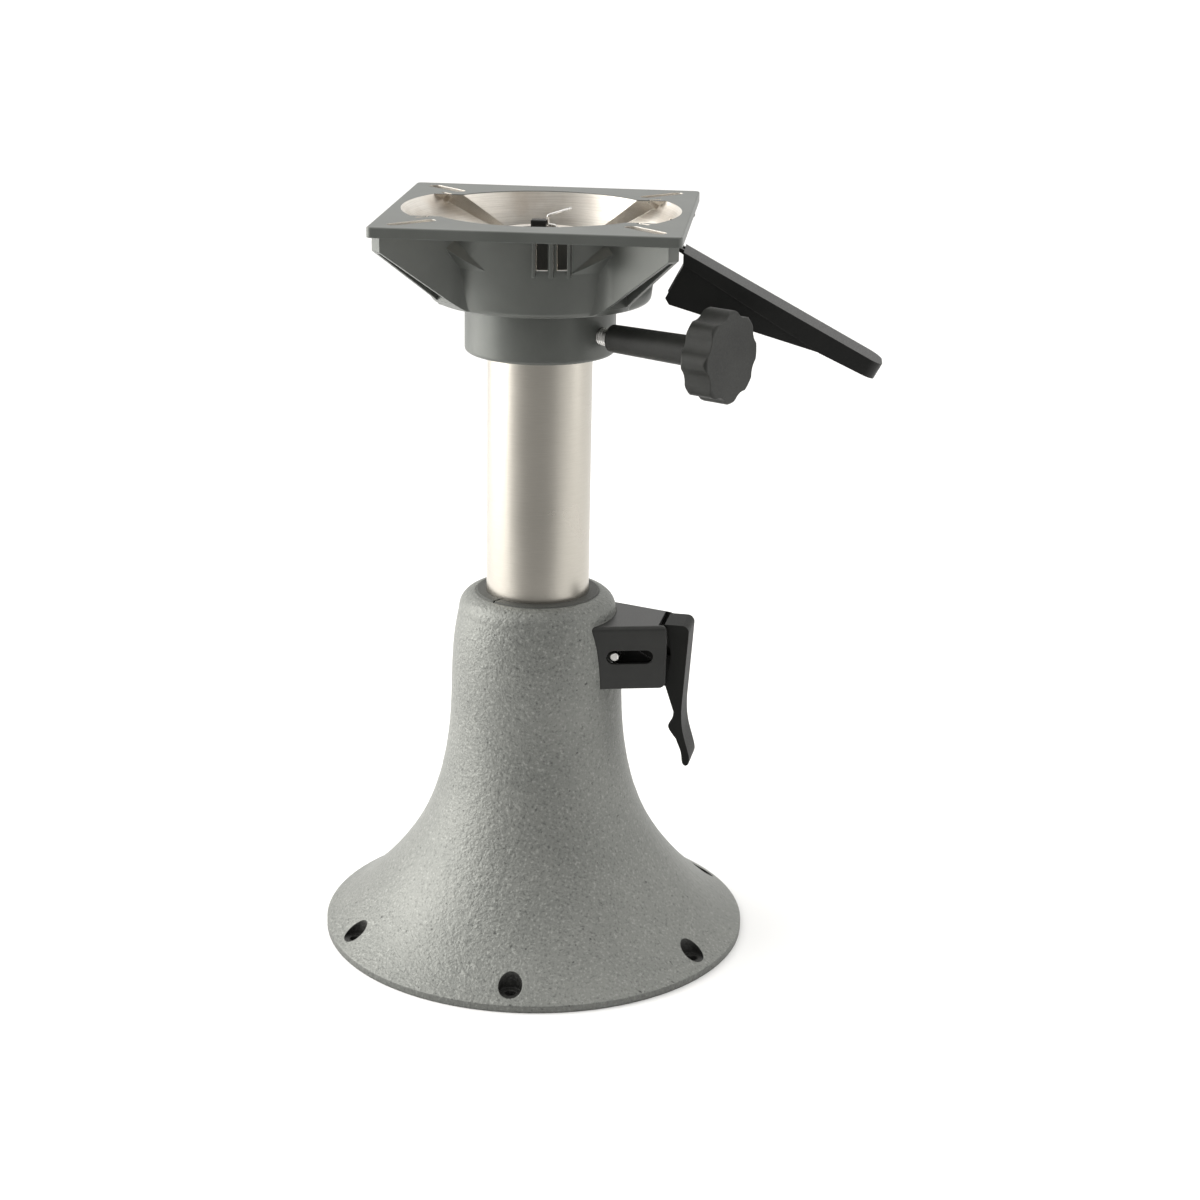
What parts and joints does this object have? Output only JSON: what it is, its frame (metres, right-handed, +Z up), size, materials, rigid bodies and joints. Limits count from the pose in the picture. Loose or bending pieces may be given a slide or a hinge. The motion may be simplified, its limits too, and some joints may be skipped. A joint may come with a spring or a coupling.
{
  "type": "boat seat pedestal",
  "caption": "Floor-mounted boat seat pedestal with a bell base, a sliding stainless post, a height latch, a swivelling seat plate, a lobed friction knob and a swivel-lock handle.",
  "frame": {"origin": "on the axis of the post, in the plane of the deck under the base", "axes": "+Z up along the post, +X to the handle's side, plate edges along X and Y, front is -Y"},
  "size_m": [0.322, 0.254, 0.437],
  "materials": {
    "grained_paint": "light grey grained paint",
    "smooth_paint": "mid grey smooth paint",
    "satin_stainless": "satin",
    "black_steel": "black satin coat",
    "black_plastic": "black satin",
    "dark_plastic": "dark grey matt",
    "cast_grey": "as cast",
    "bright_steel": "zinc plated"
  },
  "bodies": {
    "base": {"bell_base": "grained_paint", "neck_bushing": "dark_plastic", "latch_bracket": "black_steel", "bracket_screws": "bright_steel"},
    "post": {"post_tube": "satin_stainless", "post_stop": "dark_plastic", "post_plug": "cast_grey", "thrust_washer": "dark_plastic"},
    "mount": {"seat_mount": "smooth_paint", "swivel_bushing": "dark_plastic", "handle_pivot": "bright_steel", "pivot_clips": "bright_steel"},
    "handle": {"swivel_handle": "black_plastic"},
    "lock": {"lock_pin": "bright_steel", "lock_cross_pin": "bright_steel", "lock_cap": "black_plastic", "lock_clip": "bright_steel"},
    "knob": {"friction_knob": "black_plastic", "knob_stud": "bright_steel"},
    "shoe": {"clamp_shoe": "dark_plastic", "lever_pin": "bright_steel", "pin_rings": "bright_steel"},
    "lever": {"release_lever": "black_steel"}
  },
  "joints": [
    {"name": "height_slide", "type": "slide", "parent": "base", "child": "post", "axis": [0, 0, 1], "range_m": [-0.09, 0.013]},
    {"name": "seat_swivel", "type": "hinge", "parent": "post", "child": "mount", "pos_m": [0, 0, 0.384], "axis": [0, 0, 1], "continuous": true},
    {"name": "handle_lift", "type": "hinge", "parent": "mount", "child": "handle", "pos_m": [0.034, 0.0135, 0.412], "axis": [0, -1, 0], "range_deg": [0, 12]},
    {"name": "lock_pin_slide", "type": "slide", "parent": "mount", "child": "lock", "axis": [0, 0, -1], "range_m": [0, 0.0079]},
    {"name": "knob_turn", "type": "hinge", "parent": "mount", "child": "knob", "pos_m": [0.04313, -0.0253, 0.3696], "axis": [0.8625, -0.506, 0], "range_deg": [-360, 45]},
    {"name": "shoe_slide", "type": "slide", "parent": "base", "child": "shoe", "axis": [0.9954, -0.0958, 0], "range_m": [0, 0.008]},
    {"name": "lever_pull", "type": "hinge", "parent": "shoe", "child": "lever", "pos_m": [0.05047, -0.00486, 0.1815], "axis": [-0.0958, -0.9954, 0], "range_deg": [0, 50]}
  ],
  "couplings": [
    {"joint": "lock_pin_slide", "follows": "handle_lift", "m_per_rad": 0.03755},
    {"joint": "shoe_slide", "follows": "lever_pull", "m_per_rad": 0.009167}
  ]
}
